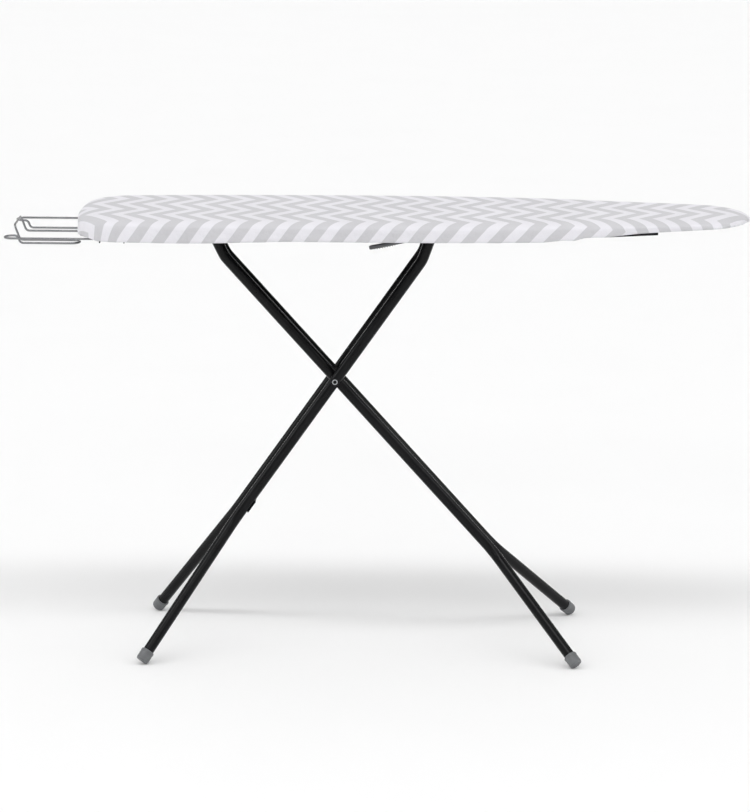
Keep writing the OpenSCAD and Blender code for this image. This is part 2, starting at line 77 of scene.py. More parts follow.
# ---------------------------------------------------------------- material helpers
class Shader:
    """A new material with its node tree, and short ways to add nodes and links."""

    def __init__(self, name):
        self.material = bpy.data.materials.new(name)
        self.material.use_nodes = True
        self.nodes = self.material.node_tree.nodes
        self.links = self.material.node_tree.links
        self.surface = self.nodes["Principled BSDF"]

    def add(self, kind, **settings):
        made = self.nodes.new("ShaderNode" + kind)
        for key, value in settings.items():
            setattr(made, key, value)
        return made

    def put(self, value, socket):
        """Links an output to a socket, or sets the socket to a number or colour."""
        if isinstance(value, bpy.types.NodeSocket):
            self.links.new(value, socket)
        else:
            socket.default_value = value

    def math(self, operation, a, b=0.0, c=0.0):
        made = self.add("Math", operation=operation)
        for value, socket in zip((a, b, c), made.inputs):
            self.put(value, socket)
        return made.outputs[0]

    def noise(self, scale, detail=3.0, rough=0.5, vector=None):
        made = self.add("TexNoise")
        made.inputs["Scale"].default_value = scale
        made.inputs["Detail"].default_value = detail
        made.inputs["Roughness"].default_value = rough
        self.links.new(vector or self.place(), made.inputs["Vector"])
        return made.outputs["Fac"]

    def place(self):
        return self.add("TexCoord").outputs["Object"]

    def span(self, value, from_low, from_high, to_low, to_high):
        made = self.add("MapRange")
        for item, socket in zip((value, from_low, from_high, to_low, to_high), made.inputs):
            self.put(item, socket)
        return made.outputs[0]

    def ramp(self, value, stops):
        """stops are (position, colour) pairs."""
        made = self.add("ValToRGB")
        for i, (position, colour) in enumerate(stops):
            element = made.color_ramp.elements[i] if i < 2 else made.color_ramp.elements.new(position)
            element.position = position
            element.color = (*colour, 1)
        self.links.new(value, made.inputs["Fac"])
        return made.outputs["Color"]

    def mix(self, factor, a, b, blend="MIX"):
        made = self.add("Mix", data_type="RGBA", blend_type=blend)
        self.put(factor, made.inputs["Factor"])
        for value, socket in ((a, made.inputs["A"]), (b, made.inputs["B"])):
            self.put((*value, 1) if isinstance(value, tuple) else value, socket)
        return made.outputs["Result"]

    def bump(self, height, distance, strength=1.0, over=None):
        made = self.add("Bump")
        made.inputs["Strength"].default_value = strength
        made.inputs["Distance"].default_value = distance
        self.links.new(height, made.inputs["Height"])
        if over is not None:
            self.links.new(over, made.inputs["Normal"])
        return made.outputs["Normal"]

    def finish(self, colour, rough, normal=None, **sockets):
        self.put((*colour, 1) if isinstance(colour, tuple) else colour, self.surface.inputs["Base Color"])
        self.put(rough, self.surface.inputs["Roughness"])
        if normal is not None:
            self.links.new(normal, self.surface.inputs["Normal"])
        for name, value in sockets.items():
            self.put(value, self.surface.inputs[name.replace("_", " ")])
        return self.material


# ---------------------------------------------------------------- materials
CHEVRON_PERIOD = 0.0465   # between stripes, along the board
CHEVRON_SLOPE = 0.79       # run of a stripe along the board for each metre across it
CHEVRON_ROW = 0.057      # from a row of points to the next, across the board
CHEVRON_FIRST_ROW = -0.140
CHEVRON_START = -0.0177
CHEVRON_WHITE = 0.47      # share of a period that is white
THREAD_PITCH = 0.0011


def chevron_cotton():
    """Woven cotton, printed with chevrons.

    The UV map holds each point's place on the flat cloth, in metres.
    """
    s = Shader("chevron_cotton")
    flat = s.add("UVMap", uv_map="cloth").outputs["UV"]
    split = s.add("SeparateXYZ")
    s.links.new(flat, split.inputs[0])
    along, across = split.outputs[0], split.outputs[1]
    wander = s.math("MULTIPLY", s.math("SUBTRACT", s.noise(18, 1, vector=flat), 0.5), 0.003)
    row = s.math("PINGPONG", s.math("SUBTRACT", across, CHEVRON_FIRST_ROW), CHEVRON_ROW)
    shifted = s.math("ADD", s.math("MULTIPLY_ADD", row, CHEVRON_SLOPE, along), wander)
    step = s.math("FRACT", s.math("DIVIDE", s.math("SUBTRACT", shifted, CHEVRON_START), CHEVRON_PERIOD))
    soft = 0.012
    white, grey = (0.8, 0.79, 0.83), (0.6, 0.595, 0.62)
    stops = [(0.0, white), (CHEVRON_WHITE - soft, white), (CHEVRON_WHITE + soft, grey)]
    stops += [(1 - 2 * soft, grey), (1.0, white)]
    printed = s.ramp(step, stops)
    # threads: warp along the board and weft across it, one over the other in turn
    thread = 2 * math.pi / THREAD_PITCH
    warp = s.math("SINE", s.math("MULTIPLY", across, thread))
    weft = s.math("SINE", s.math("MULTIPLY", along, thread))
    weave = s.math("MULTIPLY", warp, weft)
    slub = s.noise(900, 2, vector=flat)
    blotch = s.span(s.noise(7, 3, vector=flat), 0.3, 0.7, 0.965, 1.02)
    fibre = s.span(slub, 0.25, 0.75, 0.95, 1.03)
    # the weave term darkens the colour where the weave is low and lightens it where it is high: painted shade in
    # the hollows between threads. blotch and fibre are random tone of the cloth
    shade = s.math("MULTIPLY", s.math("MULTIPLY", blotch, fibre), s.span(weave, -1, 1, 0.97, 1.02))
    tone = s.add("CombineColor")
    for socket in tone.inputs[:3]:
        s.links.new(shade, socket)
    colour = s.mix(1.0, printed, tone.outputs[0], "MULTIPLY")
    # soft crumples, stronger on the skirt, where the cloth isn't held flat
    height = s.add("SeparateXYZ")
    s.links.new(s.place(), height.inputs[0])
    slack = s.span(height.outputs[2], 0.813, 0.8, 0.12, 1.0)
    crumple = s.math("MULTIPLY", s.noise(42, 4, 0.6, flat), slack)
    normal = s.bump(crumple, 0.006, 0.6)
    normal = s.bump(weave, 0.00012, 0.6, normal)
    normal = s.bump(slub, 0.00015, 0.5, normal)
    rough = s.span(slub, 0, 1, 0.78, 0.92)
    sheen = {"Sheen_Weight": 0.25, "Sheen_Roughness": 0.5, "Specular_IOR_Level": 0.25}
    return s.finish(colour, rough, normal, **sheen)


def plain_cotton(name, colour):
    """Undyed cotton tape and thread."""
    s = Shader(name)
    fibres = s.noise(2500, 3, 0.6)
    tone = s.span(s.noise(60, 2), 0.3, 0.7, 0.0, 1.0)
    dark = tuple(0.9 * c for c in colour)
    normal = s.bump(fibres, 0.0002, 0.6)
    return s.finish(s.mix(tone, dark, colour), s.span(fibres, 0, 1, 0.8, 0.95), normal, Sheen_Weight=0.2)


def felt():
    """Needled felt: matted fibres with darker flecks."""
    s = Shader("pad_felt")
    fine = s.noise(1400, 4, 0.7)
    clumps = s.noise(120, 4, 0.65)
    colour = s.ramp(clumps, [(0.3, (0.66, 0.65, 0.6)), (0.7, (0.82, 0.81, 0.77))])
    flecks = s.span(s.noise(500, 1), 0.68, 0.74, 0, 0.5)
    colour = s.mix(flecks, colour, (0.35, 0.36, 0.42))
    normal = s.bump(fine, 0.0006, 0.8, s.bump(clumps, 0.0015, 0.5))
    return s.finish(colour, 0.95, normal, Sheen_Weight=0.4)


def powder_coat(name, colour, rough, peel):
    """Baked paint: orange peel, and small changes of tint and gloss."""
    s = Shader(name)
    skin = s.noise(peel, 2, 0.4)
    broad = s.noise(30, 3)
    specks = s.noise(2600, 1)
    tint = s.mix(s.span(broad, 0.3, 0.7, 0, 1), colour, tuple(min(1, 1.5 * c + 0.002) for c in colour))
    gloss = s.span(broad, 0.3, 0.7, rough * 0.85, rough * 1.2)
    gloss = s.math("ADD", gloss, s.span(specks, 0.6, 0.8, 0, 0.08))
    normal = s.bump(specks, 0.00005, 0.25, s.bump(skin, 0.00018, 0.35))
    return s.finish(tint, gloss, normal, Specular_IOR_Level=0.15)


def moulded(name, colour, rough, grain):
    """Injection-moulded plastic with a fine eroded grain and faint flow marks."""
    s = Shader(name)
    spark = s.noise(grain, 3, 0.6)
    flow = s.noise(45, 3, 0.6)
    dark, light = tuple(0.82 * c for c in colour), tuple(1.12 * c for c in colour)
    scuffs = s.span(s.noise(160, 5, 0.7), 0.62, 0.75, 0, 0.35)
    tint = s.mix(s.span(flow, 0.3, 0.7, 0, 1), dark, light)
    tint = s.mix(scuffs, tint, tuple(min(1, 1.6 * c) for c in colour))
    normal = s.bump(spark, 0.0001, 0.55, s.bump(flow, 0.0004, 0.2))
    gloss = s.span(spark, 0, 1, rough - 0.06, rough + 0.08)
    return s.finish(tint, s.math("ADD", gloss, s.math("MULTIPLY", scuffs, 0.3)), normal)


def plated(name, colour, rough, drawn):
    """Plated steel: fine drawing lines, cloudy patches and small pits."""
    s = Shader(name)
    stretch = s.add("Mapping")
    s.links.new(s.place(), stretch.inputs["Vector"])
    stretch.inputs["Scale"].default_value = (0.06, 1, 1)
    lines = s.noise(drawn, 3, 0.6, stretch.outputs[0])
    cloud = s.noise(40, 4, 0.6)
    pits = s.noise(900, 2)
    tint = s.mix(s.span(cloud, 0.35, 0.7, 0, 1), colour, tuple(0.8 * c for c in colour))
    gloss = s.span(cloud, 0.3, 0.7, rough * 0.8, rough * 1.4)
    gloss = s.math("ADD", gloss, s.span(pits, 0.62, 0.75, 0, 0.12))
    normal = s.bump(lines, 0.00006, 0.3, s.bump(pits, 0.00005, 0.3))
    return s.finish(tint, gloss, normal, Metallic=1.0)


COTTON = chevron_cotton()
TAPE = plain_cotton("hem_tape", (0.8, 0.79, 0.82))
FELT = felt()
GLOSS_BLACK = powder_coat("gloss_black_paint", (0.003, 0.003, 0.0035), 0.16, 700)
SATIN_BLACK = powder_coat("satin_black_paint", (0.008, 0.008, 0.009), 0.34, 900)
GREY_PLASTIC = moulded("grey_plastic", (0.13, 0.135, 0.14), 0.42, 1500)
BLACK_PLASTIC = moulded("black_plastic", (0.02, 0.02, 0.021), 0.45, 1500)
GRIP_PLASTIC = moulded("grip_plastic", (0.085, 0.087, 0.092), 0.4, 1800)
ZINC = plated("zinc_plate", (0.52, 0.53, 0.55), 0.27, 1200)
CHROME = plated("chrome_plate", (0.27, 0.275, 0.285), 0.1, 1800)
RAW_STEEL = plated("raw_steel", (0.5, 0.5, 0.5), 0.35, 1500)

SLOT_MATERIALS = {
    "cover_fabric": COTTON, "pad_felt": FELT, "frame_paint": SATIN_BLACK, "leg_paint": GLOSS_BLACK,
    "cap_plastic": GREY_PLASTIC, "black_plastic": BLACK_PLASTIC, "grip_plastic": GRIP_PLASTIC,
    "zinc_steel": ZINC, "chrome_wire": CHROME,
}


# ---------------------------------------------------------------- mesh helpers
def mesh_object(name, points, faces, material, smooth_angle=35):
    mesh = bpy.data.meshes.new(name)
    mesh.from_pydata([tuple(p) for p in points], [], faces)
    made = bpy.data.objects.new(name, mesh)
    bpy.context.scene.collection.objects.link(made)
    mesh.materials.append(material)
    shade(made, smooth_angle)
    return made


def shade(made, angle):
    """Smooth shading, with edges sharper than the angle kept."""
    mesh = made.data
    work = bmesh.new()
    work.from_mesh(mesh)
    bmesh.ops.recalc_face_normals(work, faces=work.faces)
    limit = math.radians(angle)
    for face in work.faces:
        face.smooth = True
    for edge in work.edges:
        edge.smooth = len(edge.link_faces) != 2 or edge.calc_face_angle(0) < limit
    work.to_mesh(mesh)
    work.free()


def piece(made, body, *nodes, slot=None):
    """Makes an object ride on a body, in place of CAD nodes if any are named."""
    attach(made, body)
    if nodes:
        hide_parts(*nodes)
    return made


def joined(name, parts, smooth_angle=35):
    """One object from several (points, faces) groups that share a material."""
    points, faces = [], []
    material = parts[0][2]
    for some_points, some_faces, _ in parts:
        start = len(points)
        points += [tuple(p) for p in some_points]
        faces += [[start + i for i in f] for f in some_faces]
    return mesh_object(name, points, faces, material, smooth_angle)


def basis(z):
    """Two unit vectors square to z and to each other."""
    z = Vector(z).normalized()
    side = Vector((0, 1, 0)) if abs(z.y) < 0.9 else Vector((1, 0, 0))
    x = side.cross(z).normalized()
    return x, z.cross(x), z


def lathe(profile, at, axis, material, sides=48):
    """A solid of revolution. profile is (radius, height) pairs from the axis back to the axis."""
    x, y, z = basis(axis)
    points, faces, rings = [], [], []
    for r, h in profile:
        if r < 1e-7:
            rings.append([len(points)])
            points.append(Vector(at) + z * h)
            continue
        rings.append(list(range(len(points), len(points) + sides)))
        for i in range(sides):
            a = 2 * math.pi * i / sides
            points.append(Vector(at) + z * h + (x * math.cos(a) + y * math.sin(a)) * r)
    for a, b in zip(rings, rings[1:]):
        for i in range(sides):
            quad = [a[i % len(a)], a[(i + 1) % len(a)], b[(i + 1) % len(b)], b[i % len(b)]]
            face = list(dict.fromkeys(quad))
            if len(face) > 2:
                faces.append(face)
    if len(rings[0]) > 1 and len(rings[-1]) > 1:  # a ring, such as a washer: close it on itself
        for i in range(sides):
            faces.append([rings[-1][i], rings[-1][(i + 1) % sides], rings[0][(i + 1) % sides], rings[0][i]])
    return points, faces, material


def rounded(profile, radius, steps=4):
    """Rounds the inner corners of a (radius, height) profile."""
    out = [profile[0]]
    for before, here, after in zip(profile, profile[1:], profile[2:]):
        p, a, b = Vector(here), Vector(before), Vector(after)
        back = min(radius, (a - p).length * 0.45, (b - p).length * 0.45)
        start, end = p + (a - p).normalized() * back, p + (b - p).normalized() * back
        for i in range(steps + 1):
            t = i / steps
            q = start * (1 - t) ** 2 + p * 2 * t * (1 - t) + end * t ** 2
            out.append((q.x, q.y))
    out.append(profile[-1])
    return out


def bent_path(points, radii, step=math.radians(4)):
    """The points of a centreline that runs straight between circular bends."""
    points = [Vector(p) for p in points]
    path = [points[0]]
    for before, here, after, radius in zip(points, points[1:], points[2:], radii[1:]):
        d0, d1 = (here - before).normalized(), (after - here).normalized()
        turn = d0.angle(d1)
        start = here - d0 * radius * math.tan(turn / 2)
        middle = here + (d1 - d0).normalized() * radius / math.cos(turn / 2)
        axis = d0.cross(d1).normalized()
        count = max(2, math.ceil(turn / step))
        for i in range(count + 1):
            spin = Matrix.Rotation(turn * i / count, 3, axis)
            path.append(middle + spin @ (start - middle))
    path.append(points[-1])
    return path


def sweep(path, radius, material, sides=32, closed=False):
    """A round bar along a path, with rounded ends.

    radius may be a function of the share of the way along.
    """
    count = len(path)
    tangents = []
    for i in range(count):
        a = path[(i - 1) % count] if closed or i > 0 else path[0]
        b = path[(i + 1) % count] if closed or i < count - 1 else path[-1]
        tangents.append((b - a).normalized())
    x, _, _ = basis(tangents[0])
    points, faces, rings = [], [], []
    size = radius if callable(radius) else (lambda share: radius)
    stations = [(p, t, size(i / max(count - 1, 1))) for i, (p, t) in enumerate(zip(path, tangents))]
    if not closed:
        chamfer = 0.06
        (p, t, r), (q, u, v) = stations[0], stations[-1]
        start = [(p, t, r * (1 - chamfer)), (p + t * r * chamfer, t, r)]
        end = [(q - u * v * chamfer, u, v), (q, u, v * (1 - chamfer))]
        stations = start + stations[1:-1] + end
    for p, t, r in stations:
        x = (x - t * x.dot(t)).normalized()
        y = t.cross(x)
        rings.append(list(range(len(points), len(points) + sides)))
        for k in range(sides):
            a = 2 * math.pi * k / sides
            points.append(p + (x * math.cos(a) + y * math.sin(a)) * r)
    pairs = list(zip(rings, rings[1:])) + ([(rings[-1], rings[0])] if closed else [])
    for a, b in pairs:
        for k in range(sides):
            faces.append([a[k], a[(k + 1) % sides], b[(k + 1) % sides], b[k]])
    if not closed:
        faces.append(list(reversed(rings[0])))
        faces.append(list(rings[-1]))
    return points, faces, material


def mirrored(group):
    """The same group of faces on the far side."""
    points, faces, material = group
    return [Vector((p[0], -p[1], p[2])) for p in points], [list(reversed(f)) for f in faces], material


def both_sides(group):
    return [group, mirrored(group)]


# ---------------------------------------------------------------- outline of the board
def board_outline(count):
    """Points at even spacing round the board, from the nose anticlockwise, and the outward normal at each."""
    mesh = frame["nodes"]["cover"].data
    rim = {(round(v.co.x, 6), round(v.co.y, 6)) for v in mesh.vertices if v.co.z > TOP_Z - 1e-6}
    corners = np.array(sorted(rim, key=lambda p: math.atan2(p[1], p[0] - (HEEL_X + NOSE_X) / 2)))
    corners = np.roll(corners, -int(np.argmax(corners[:, 0])), axis=0)
    ring = np.vstack([corners, corners[:1]])
    length = np.concatenate([[0], np.cumsum(np.linalg.norm(np.diff(ring, axis=0), axis=1))])
    places = np.linspace(0, length[-1], count, endpoint=False)
    points = np.stack([np.interp(places, length, ring[:, k]) for k in (0, 1)], axis=1)
    smooth = max(3, int(0.012 / (length[-1] / count)))
    weights = np.hanning(smooth * 2 + 3)[1:-1]
    weights /= weights.sum()
    half = len(weights) // 2
    wrapped = np.vstack([points[-half:], points, points[:half]])
    soft = np.stack([np.convolve(wrapped[:, k], weights, "valid") for k in (0, 1)], axis=1)
    ahead, behind = np.roll(soft, -1, axis=0), np.roll(soft, 1, axis=0)
    tangent = ahead - behind
    normal = np.stack([tangent[:, 1], -tangent[:, 0]], axis=1)
    normal /= np.linalg.norm(normal, axis=1)[:, None]
    return points, normal, places


OUTLINE, NORMAL, PLACES = board_outline(720)
PERIMETER = float(PLACES[-1] + PLACES[1])
TURN = np.roll(NORMAL, -1, axis=0) - np.roll(NORMAL, 1, axis=0)
BEND = np.linalg.norm(TURN, axis=1) / (2 * PERIMETER / len(OUTLINE))  # curvature of the outline
RISE_START, RISE_END = NOSE_X - 0.384, NOSE_X - 0.274  # where the skirt gets shallower towards the nose


def smoothstep(x, a, b):
    t = np.clip((x - a) / (b - a), 0, 1)
    return t * t * (3 - 2 * t)


def offset(distance):
    """The outline moved out by a distance in metres, or by one for each point."""
    return OUTLINE + NORMAL * np.asarray(distance).reshape(-1, 1)


def inside(x, y, margin):
    """Is a point inside the outline by at least the margin? The outline is convex."""
    gap = (x - OUTLINE[:, 0]) * NORMAL[:, 0] + (y - OUTLINE[:, 1]) * NORMAL[:, 1]
    return gap.max() <= -margin


# ---------------------------------------------------------------- cover
CLOTH_T = 0.0008
HEM_FOLD = 0.004
HEM_TURN = 0.0105
TUNNEL_R = 0.0022


def edge_shape():
    """How far in from the outline the padded top starts to fall, and by how much, at each outline point."""
    x = OUTLINE[:, 0]
    nose, heel = smoothstep(x, RISE_START, RISE_END + 0.08), 1 - smoothstep(x, HEEL_X + 0.05, HEEL_X + 0.2)
    reach = 0.026 + 0.016 * nose + 0.008 * heel
    fall = 0.0112 - 0.0012 * nose - 0.001 * heel
    return reach, fall


def top_height(inset, reach, fall):
    """Height of the cloth above a point that is inset from the outline."""
    t = np.clip(1 - inset / reach, 0, 1)
    return TOP_Z - CLOTH_T / 2 - fall * (1 - np.sqrt(1 - t * t))


def rings_of_cover():
    """Rings of points from the flat top, over the edge, down the skirt and under the hem.

    Each ring has its plan places, its heights and its places on the flat cloth.
    """
    x, y = OUTLINE[:, 0], OUTLINE[:, 1]
    rise = 0.012 * smoothstep(x, RISE_START, RISE_END)
    rise = rise + 0.007 * np.clip((x - RISE_END) / (NOSE_X - RISE_END), 0, 1)
    sag = 0.0032 + 0.003 * smoothstep(np.abs(y), 0.12, 0.14)
    sag = sag * (1 - smoothstep(x, HEEL_X + 0.18, HEEL_X + 0.42))
    sag += 0.0045 * np.exp(-((x - 0.405) / 0.045) ** 2)
    dips = ((0.352, 0.014, 0.0035), (0.21, 0.02, 0.0015))  # place, width and depth
    droop = sum(size * np.exp(-((x - at) / wide) ** 2) for at, wide, size in dips)
    bottom = SKIRT_Z + CLOTH_T / 2 + rise - sag - droop * (y < 0) * smoothstep(rise, 0, 0.004)
    reach, fall = edge_shape()
    gather = smoothstep(BEND, 2, 8)
    gather = np.convolve(np.concatenate([gather[-12:], gather, gather[:12]]), np.hanning(25) / 12, "valid")
    angle = 2 * math.pi * PLACES / PERIMETER
    waver = np.array([noise.noise(Vector((3 * math.cos(a), 3 * math.sin(a), 0.7))) for a in angle])
    crease = np.array([noise.noise(Vector((22 * math.cos(a), 22 * math.sin(a), 4.1))) for a in angle])
    broad = np.array([noise.noise(Vector((9 * math.cos(a), 9 * math.sin(a), 9.3))) for a in angle])
    pleats = np.sin(190 * angle + 9 * waver) + 0.5 * np.sin(83 * angle + 14 * waver)
    swell = 0.0011 * gather * (pleats + 1.5) + 0.0014 * np.abs(crease) + 0.0009 * (broad + 0.4)
    rings = []

    def ring(inset, z, past, wrinkle, ripple=0.0):
        """wrinkle, from 0 to 1, is how far gathers and creases push this ring out."""
        place = offset(-np.asarray(inset) + wrinkle * swell)
        lift = ripple * (0.9 * gather * pleats + 0.5 * crease)
        rings.append((place, np.broadcast_to(z, x.shape) + lift, offset(past)))

    steps = 16
    past = -reach
    before = None
    for i in range(steps + 1):
        a = math.pi / 2 * i / steps
        inset = CLOTH_T / 2 + reach * (1 - math.sin(a))
        z = TOP_Z - CLOTH_T / 2 - fall * (1 - math.cos(a))
        if before is not None:
            past = past + np.hypot(before[0] - inset, before[1] - z)
        before = inset, z
        ring(inset, z, past, 0.25 * (i / steps) ** 3)
    wall_top, wall_end = TOP_Z - CLOTH_T / 2 - fall, bottom + HEM_FOLD
    for i in range(1, 9):
        t = i / 8
        tuck = 0.0006 * t * t
        z = wall_top + (wall_end - wall_top) * t
        ring(CLOTH_T / 2 + tuck, z, past + (wall_top - wall_end) * t, 0.25 + 0.75 * t ** 1.5)
    past = past + wall_top - wall_end
    for i in range(1, 6):
        a = math.pi / 2 * i / 5
        inset = CLOTH_T / 2 + 0.0006 + HEM_FOLD * (1 - math.cos(a))
        ring(inset, bottom + HEM_FOLD * (1 - math.sin(a)), past + HEM_FOLD * a, 1.0, 0.0004 * i / 5)
    past = past + HEM_FOLD * math.pi / 2
    for i in range(1, 5):
        t = i / 4
        inset = HEM_FOLD + 0.001 + (HEM_TURN - HEM_FOLD) * t
        ring(inset, bottom + 0.0012 * t, past + (HEM_TURN - HEM_FOLD) * t, 1.0 + t, 0.0005 + 0.0006 * t)
    past = past + HEM_TURN - HEM_FOLD
    for i in range(1, 6):
        a = math.pi * 1.25 * i / 5
        inset = HEM_TURN + 0.001 + TUNNEL_R * math.sin(a)
        ring(inset, bottom + 0.0012 + TUNNEL_R * (1 - math.cos(a)), past + TUNNEL_R * a, 2.0, 0.0011)
    return rings


def cover_mesh():
    rings = rings_of_cover()
    count = len(OUTLINE)
    points, cloth, faces = [], [], []
    inner_place = rings[0][0]
    spine_x = np.clip(inner_place[:, 0], HEEL_X + 0.15, NOSE_X - 0.16)
    spine_x = (spine_x + spine_x[(-np.arange(count)) % count]) / 2
    steps = 9
    inner = []
    for i in range(steps):
        t = i / steps
        place = np.stack([spine_x, np.zeros(count)], axis=1) * (1 - t) + inner_place * t
        inner.append((place, np.full(count, TOP_Z - CLOTH_T / 2), place))
    for place, z, flat in inner + rings:
        for i in range(count):
            points.append((place[i, 0], place[i, 1], float(z[i])))
            cloth.append((float(flat[i, 0]), float(flat[i, 1])))
    for r in range(len(inner) + len(rings) - 1):
        for i in range(count):
            j = (i + 1) % count
            faces.append([r * count + i, r * count + j, (r + 1) * count + j, (r + 1) * count + i])
    return points, faces, cloth, rings


def set_cloth_map(made, cloth):
    layer = made.data.uv_layers.new(name="cloth")
    for loop in made.data.loops:
        layer.data[loop.index].uv = cloth[loop.vertex_index]


def merge_spine(made):
    """Closes the middle of the top, where the two halves of the first ring meet."""
    work = bmesh.new()
    work.from_mesh(made.data)
    bmesh.ops.remove_doubles(work, verts=work.verts, dist=1e-6)
    work.to_mesh(made.data)
    work.free()


def make_cover():
    points, faces, cloth, rings = cover_mesh()
    mesh = bpy.data.meshes.new("cover_cloth")
    mesh.from_pydata(points, [], faces)
    made = bpy.data.objects.new("cover_cloth", mesh)
    bpy.context.scene.collection.objects.link(made)
    mesh.materials.append(COTTON)
    set_cloth_map(made, cloth)
    merge_spine(made)
    shade(made, 80)
    thick = made.modifiers.new("thickness", "SOLIDIFY")
    thick.thickness = CLOTH_T
    thick.offset = 0
    piece(made, "board", "cover")
    seam = piece(hem_stitches(*rings[32][:2]), "board", slot="cover_fabric")


def hem_stitches(place, z):
    """A row of stitches under the hem, which holds the tunnel of the elastic."""
    line = [Vector((p[0], p[1], height - CLOTH_T / 2)) for p, height in zip(place, z)]
    proud = Vector((0, 0, 0.00035))
    parts = []
    for a, b in zip(line, line[1:] + line[:1]):
        thread = [a.lerp(b, 0.12), a.lerp(b, 0.3) - proud, a.lerp(b, 0.65) - proud, a.lerp(b, 0.83)]
        parts.append(sweep(thread, 0.0003, TAPE, 6))
    return joined("hem_stitches", parts, 60)


# ---------------------------------------------------------------- pad and mesh
def make_pad():
    """The felt slab between mesh and cover, rounded at its edge."""
    base = TOP_Z - 0.001 - PAD_T
    count = len(OUTLINE)
    reach, fall = edge_shape()
    end = np.full(count, 0.0045)
    profile = []
    for t in (1, 0.8, 0.6, 0.42, 0.27, 0.15, 0.06, 0):
        inset = end + (0.055 - end) * t
        profile.append((inset, np.maximum(top_height(inset, reach, fall) - 0.0007, base + 0.0004)))
    for t in (0.06, 0.27, 0.6, 1):
        profile.append((end + (0.055 - end) * t, np.full(count, base)))
    spine_x = np.clip(offset(-0.055)[:, 0], HEEL_X + 0.15, NOSE_X - 0.16)
    spine = np.stack([spine_x, np.zeros(count)], axis=1)
    points, faces = [], []
    loops = []
    for z, order in ((profile[0][1], 1), (profile[-1][1], -1)):
        inner = [(spine * (1 - t) + offset(-0.055) * t, z) for t in (0, 0.25, 0.5, 0.75)]
        loops.append(inner[::order])
    stations = loops[0] + [(offset(-inset), z) for inset, z in profile] + loops[1]
    for place, z in stations:
        for p, height in zip(place, z):
            lump = 0.0001 * noise.noise(Vector((p[0] * 90, p[1] * 90, height * 50)))
            points.append((p[0], p[1], height + lump))
    for r in range(len(stations) - 1):
        for i in range(count):
            j = (i + 1) % count
            faces.append([r * count + i, r * count + j, (r + 1) * count + j, (r + 1) * count + i])
    made = mesh_object("pad_felt_slab", points, faces, FELT, 60)
    merge_spine(made)
    piece(made, "board", "pad")
    return made


MESH_LONG, MESH_SHORT, STRAND = 0.030, 0.0125, 0.0018


def make_mesh_panel():
    """Expanded steel mesh: rhombic openings between slanting strands, in a flat border on the rim."""
    low_z, top_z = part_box("mesh_panel")[0].z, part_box("mesh_panel")[1].z
    mid = (low_z + top_z) / 2
    points, faces, index = [], [], {}

    def point(x, y, z):
        key = (round(x, 5), round(y, 5), round(z, 6))
        if key not in index:
            index[key] = len(points)
            points.append((x, y, z))
        return index[key]

    across = int(2 * HALF_W / MESH_SHORT) + 2
    along = int((NOSE_X - HEEL_X) / MESH_LONG) + 2
    shrink_x, shrink_y = 1 - 2.6 * STRAND / MESH_SHORT, 1 - 2.3 * STRAND / MESH_SHORT
    tilt = 0.00022
    for row in range(-across, across + 1):
        for col in range(along + 1):
            x = HEEL_X + (col + (row % 2) / 2) * MESH_LONG
            y = row * MESH_SHORT / 2
            corners = [(-0.5, 0), (0, -0.5), (0.5, 0), (0, 0.5)]
            if not all(inside(x + u * MESH_LONG, y + v * MESH_SHORT, 0.006) for u, v in corners):
                continue
            outer = [point(x + u * MESH_LONG, y + v * MESH_SHORT, mid) for u, v in corners]
            hole_l, hole_w = MESH_LONG * shrink_x, MESH_SHORT * shrink_y
            hole = [point(x + u * hole_l, y + v * hole_w, mid + tilt * 2 * v) for u, v in corners]
            for k in range(4):
                m = (k + 1) % 4
                faces.append([outer[k], outer[m], hole[m], hole[k]])
    inner, outer = offset(-0.021), offset(-0.0042)
    start, count = len(points), len(OUTLINE)
    points += [(p[0], p[1], mid - 0.0001) for p in inner] + [(p[0], p[1], mid - 0.0001) for p in outer]
    for i in range(count):
        j = (i + 1) % count
        faces.append([start + i, start + j, start + count + j, start + count + i])
    made = mesh_object("expanded_mesh", points, faces, SATIN_BLACK, 40)
    thick = made.modifiers.new("thickness", "SOLIDIFY")
    thick.thickness = 0.00065
    thick.offset = 0
    return piece(made, "board", "mesh_panel", slot="frame_paint")


# ---------------------------------------------------------------- legs
SPLAY_R, KNEE_R = 0.08, 0.06


def leg_line(lean, side, splay_run, knee_run, foot, top):
    """Centreline points of a near-side leg: foot, splay, knee and top."""
    down = Vector((math.sin(math.radians(lean)), 0, -math.cos(math.radians(lean))))
    across = Vector((0, -side, 0))
    return [Vector(foot), CROSS + down * splay_run + across, CROSS - down * knee_run + across, Vector(top)]


INNER_LINE = leg_line(42, 0.02, 0.4369, 0.303, (0.3686, -0.1825, 0.00864), (-0.3128, -0.02, 0.7965))
OUTER_LINE = leg_line(-35, 0.0445, 0.322, 0.276, (-0.4246, -0.1825, 0.0071), (0.1051, -0.0445, 0.7967))
CAP_END = 0.004


